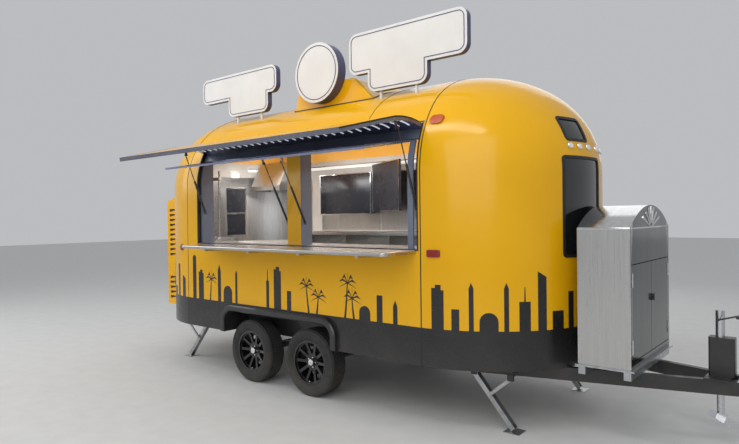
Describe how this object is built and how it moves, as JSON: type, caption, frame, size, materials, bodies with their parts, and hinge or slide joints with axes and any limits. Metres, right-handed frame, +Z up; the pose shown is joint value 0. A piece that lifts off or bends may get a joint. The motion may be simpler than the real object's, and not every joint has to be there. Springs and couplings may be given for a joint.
{
  "type": "food trailer",
  "caption": "Single-deck food trailer with a domed moulded body, a long serving hatch on gas struts, a counter shelf, tandem wheels, steadies and a drawbar locker.",
  "frame": {"origin": "bottom centre of the whole trailer's box, on the ground", "axes": "+X forward to the drawbar, -Y towards the serving side, +Z up"},
  "size_m": [6.482, 3.0294, 3.36],
  "materials": {
    "yellow_moulding": "gloss gelcoat over a moulded sandwich panel",
    "tinted_glass": "dark tinted",
    "floor_board": "phenolic faced plywood",
    "black_steel": "satin black paint",
    "galvanised_steel": "galvanised",
    "bright_steel": "bright plated",
    "black_plastic": "gloss black",
    "frame_metal": "satin grey-blue",
    "frame_aluminium": "anodised",
    "strut_black": "satin black",
    "stainless_sheet": "brushed stainless",
    "black_alloy": "gloss black lacquer",
    "tyre": "moulded rubber",
    "lamp_lens": "clear lens",
    "sign_face": "opal sheet",
    "white_steel": "white paint"
  },
  "bodies": {
    "root": {"front_cap": "yellow_moulding", "rear_cap": "yellow_moulding", "roof": "yellow_moulding", "front_windows": "tinted_glass", "serving_wall": "yellow_moulding", "far_wall": "yellow_moulding", "floor": "floor_board", "wheel_housings": "black_steel", "wheel_flares": "black_plastic", "coupling": "galvanised_steel", "opening_frame": "frame_metal", "serving_shelf": "stainless_sheet", "axles": "black_steel", "springs": "black_steel", "jack": "black_steel", "chassis": "black_steel", "locker": "stainless_sheet", "locker_platform": "galvanised_steel", "rear_cabinet": "yellow_moulding", "lamps": "lamp_lens", "roof_cowl": "yellow_moulding", "sign_disc": "sign_face", "sign_boards": "sign_face", "sign_posts": "white_steel", "back_counter": "stainless_sheet", "serving_counter": "stainless_sheet", "hood": "stainless_sheet", "spit_grill": "bright_steel"},
    "wheel_front_serving": {"tyre_front_serving": "tyre", "rim_front_serving": "black_alloy"},
    "steady_front_serving": {"steady_leg_front_serving": "galvanised_steel"},
    "steady_stay_front_serving": {"steady_brace_front_serving": "galvanised_steel"},
    "wheel_front_far": {"tyre_front_far": "tyre", "rim_front_far": "black_alloy"},
    "steady_front_far": {"steady_leg_front_far": "galvanised_steel"},
    "steady_stay_front_far": {"steady_brace_front_far": "galvanised_steel"},
    "wheel_rear_serving": {"tyre_rear_serving": "tyre", "rim_rear_serving": "black_alloy"},
    "steady_rear_serving": {"steady_leg_rear_serving": "galvanised_steel"},
    "steady_stay_rear_serving": {"steady_brace_rear_serving": "galvanised_steel"},
    "wheel_rear_far": {"tyre_rear_far": "tyre", "rim_rear_far": "black_alloy"},
    "steady_rear_far": {"steady_leg_rear_far": "galvanised_steel"},
    "steady_stay_rear_far": {"steady_brace_rear_far": "galvanised_steel"},
    "hatch": {"hatch": "yellow_moulding"},
    "flap": {"flap_frame": "frame_aluminium", "flap_glass": "tinted_glass"},
    "door": {"entry_door": "yellow_moulding", "entry_door_window": "tinted_glass"},
    "locker_far": {"locker_door_far": "stainless_sheet"},
    "locker_serving": {"locker_door_serving": "stainless_sheet"},
    "jack_leg": {"jack_leg": "bright_steel"},
    "hatch_strut_rear_body": {"hatch_strut_rear_body": "strut_black"},
    "hatch_strut_rear_rod": {"hatch_strut_rear_rod": "bright_steel"},
    "hatch_strut_front_body": {"hatch_strut_front_body": "strut_black"},
    "hatch_strut_front_rod": {"hatch_strut_front_rod": "bright_steel"},
    "flap_strut_rear_body": {"flap_strut_rear_body": "strut_black"},
    "flap_strut_rear_rod": {"flap_strut_rear_rod": "bright_steel"},
    "flap_strut_front_body": {"flap_strut_front_body": "strut_black"},
    "flap_strut_front_rod": {"flap_strut_front_rod": "bright_steel"}
  },
  "joints": [
    {"name": "wheel_rear_serving_spin", "type": "hinge", "parent": "root", "child": "wheel_rear_serving", "pos_m": [-1.111, -0.50477, 0.31], "axis": [0, 1, 0], "continuous": true},
    {"name": "wheel_rear_far_spin", "type": "hinge", "parent": "root", "child": "wheel_rear_far", "pos_m": [-1.111, 1.34423, 0.31], "axis": [0, 1, 0], "continuous": true},
    {"name": "wheel_front_serving_spin", "type": "hinge", "parent": "root", "child": "wheel_front_serving", "pos_m": [-0.291, -0.50477, 0.31], "axis": [0, 1, 0], "continuous": true},
    {"name": "wheel_front_far_spin", "type": "hinge", "parent": "root", "child": "wheel_front_far", "pos_m": [-0.291, 1.34423, 0.31], "axis": [0, 1, 0], "continuous": true},
    {"name": "hatch_hinge", "type": "hinge", "parent": "root", "child": "hatch", "pos_m": [-0.501, -0.52861, 2.38296], "axis": [1, 0, 0], "range_deg": [0, 76]},
    {"name": "flap_hinge", "type": "hinge", "parent": "root", "child": "flap", "pos_m": [-0.501, -0.52458, 2.262], "axis": [1, 0, 0], "range_deg": [0, 80.5]},
    {"name": "hatch_strut_rear_swing", "type": "hinge", "parent": "root", "child": "hatch_strut_rear_body", "pos_m": [-0.501, -0.56527, 1.705], "axis": [1, 0, 0], "range_deg": [-25.98, 0]},
    {"name": "hatch_strut_rear_slide", "type": "slide", "parent": "hatch_strut_rear_body", "child": "hatch_strut_rear_rod", "axis": [0, -0.361, 0.9326], "range_m": [-0.26472, 0]},
    {"name": "hatch_strut_front_swing", "type": "hinge", "parent": "root", "child": "hatch_strut_front_body", "pos_m": [-0.501, -0.56527, 1.705], "axis": [1, 0, 0], "range_deg": [-25.98, 0]},
    {"name": "hatch_strut_front_slide", "type": "slide", "parent": "hatch_strut_front_body", "child": "hatch_strut_front_rod", "axis": [0, -0.361, 0.9326], "range_m": [-0.26472, 0]},
    {"name": "flap_strut_rear_swing", "type": "hinge", "parent": "root", "child": "flap_strut_rear_body", "pos_m": [-0.501, -0.46527, 1.59], "axis": [1, 0, 0], "range_deg": [-29.14, 0]},
    {"name": "flap_strut_rear_slide", "type": "slide", "parent": "flap_strut_rear_body", "child": "flap_strut_rear_rod", "axis": [0, -0.4652, 0.8852], "range_m": [-0.21724, 0]},
    {"name": "flap_strut_front_swing", "type": "hinge", "parent": "root", "child": "flap_strut_front_body", "pos_m": [-0.501, -0.46527, 1.59], "axis": [1, 0, 0], "range_deg": [-29.14, 0]},
    {"name": "flap_strut_front_slide", "type": "slide", "parent": "flap_strut_front_body", "child": "flap_strut_front_rod", "axis": [0, -0.4652, 0.8852], "range_m": [-0.21724, 0]},
    {"name": "entry_door_hinge", "type": "hinge", "parent": "root", "child": "door", "pos_m": [0.204, 1.47173, 1.4], "axis": [0, 0, 1], "range_deg": [0, 100]},
    {"name": "locker_far_hinge", "type": "hinge", "parent": "root", "child": "locker_far", "pos_m": [2.394, 0.92173, 0.9], "axis": [0, 0, 1], "range_deg": [0, 100]},
    {"name": "locker_serving_hinge", "type": "hinge", "parent": "root", "child": "locker_serving", "pos_m": [2.394, -0.08227, 0.9], "axis": [0, 0, 1], "range_deg": [-100, 0]},
    {"name": "jack_slide", "type": "slide", "parent": "root", "child": "jack_leg", "axis": [0, 0, 1], "range_m": [-0.09, 0.15]},
    {"name": "steady_front_serving_fold", "type": "hinge", "parent": "root", "child": "steady_front_serving", "pos_m": [1.259, -0.27027, 0.405], "axis": [0, 1, 0], "range_deg": [-44, 0]},
    {"name": "steady_stay_front_serving_fold", "type": "hinge", "parent": "root", "child": "steady_stay_front_serving", "pos_m": [1.579, -0.27027, 0.405], "axis": [0, 1, 0], "range_deg": [0, 38.3]},
    {"name": "steady_front_far_fold", "type": "hinge", "parent": "root", "child": "steady_front_far", "pos_m": [1.259, 1.10973, 0.405], "axis": [0, 1, 0], "range_deg": [-44, 0]},
    {"name": "steady_stay_front_far_fold", "type": "hinge", "parent": "root", "child": "steady_stay_front_far", "pos_m": [1.579, 1.10973, 0.405], "axis": [0, 1, 0], "range_deg": [0, 38.3]},
    {"name": "steady_rear_serving_fold", "type": "hinge", "parent": "root", "child": "steady_rear_serving", "pos_m": [-2.281, -0.27027, 0.405], "axis": [0, 1, 0], "range_deg": [0, 44]},
    {"name": "steady_stay_rear_serving_fold", "type": "hinge", "parent": "root", "child": "steady_stay_rear_serving", "pos_m": [-2.601, -0.27027, 0.405], "axis": [0, 1, 0], "range_deg": [-38.3, 0]},
    {"name": "steady_rear_far_fold", "type": "hinge", "parent": "root", "child": "steady_rear_far", "pos_m": [-2.281, 1.10973, 0.405], "axis": [0, 1, 0], "range_deg": [0, 44]},
    {"name": "steady_stay_rear_far_fold", "type": "hinge", "parent": "root", "child": "steady_stay_rear_far", "pos_m": [-2.601, 1.10973, 0.405], "axis": [0, 1, 0], "range_deg": [-38.3, 0]}
  ],
  "couplings": [
    {"joint": "flap_hinge", "follows": "hatch_hinge", "ratio": 1.0526},
    {"joint": "hatch_strut_rear_swing", "follows": "hatch_hinge", "ratio": -0.33528},
    {"joint": "hatch_strut_rear_slide", "follows": "hatch_hinge", "m_per_rad": -0.19882},
    {"joint": "hatch_strut_front_swing", "follows": "hatch_hinge", "ratio": -0.33528},
    {"joint": "hatch_strut_front_slide", "follows": "hatch_hinge", "m_per_rad": -0.19882},
    {"joint": "flap_strut_rear_swing", "follows": "hatch_hinge", "ratio": -0.37681},
    {"joint": "flap_strut_rear_slide", "follows": "hatch_hinge", "m_per_rad": -0.16302},
    {"joint": "flap_strut_front_swing", "follows": "hatch_hinge", "ratio": -0.37681},
    {"joint": "flap_strut_front_slide", "follows": "hatch_hinge", "m_per_rad": -0.16302},
    {"joint": "steady_stay_front_serving_fold", "follows": "steady_front_serving_fold", "ratio": -0.85909},
    {"joint": "steady_stay_front_far_fold", "follows": "steady_front_far_fold", "ratio": -0.85909},
    {"joint": "steady_stay_rear_serving_fold", "follows": "steady_rear_serving_fold", "ratio": -0.85909},
    {"joint": "steady_stay_rear_far_fold", "follows": "steady_rear_far_fold", "ratio": -0.85909}
  ]
}
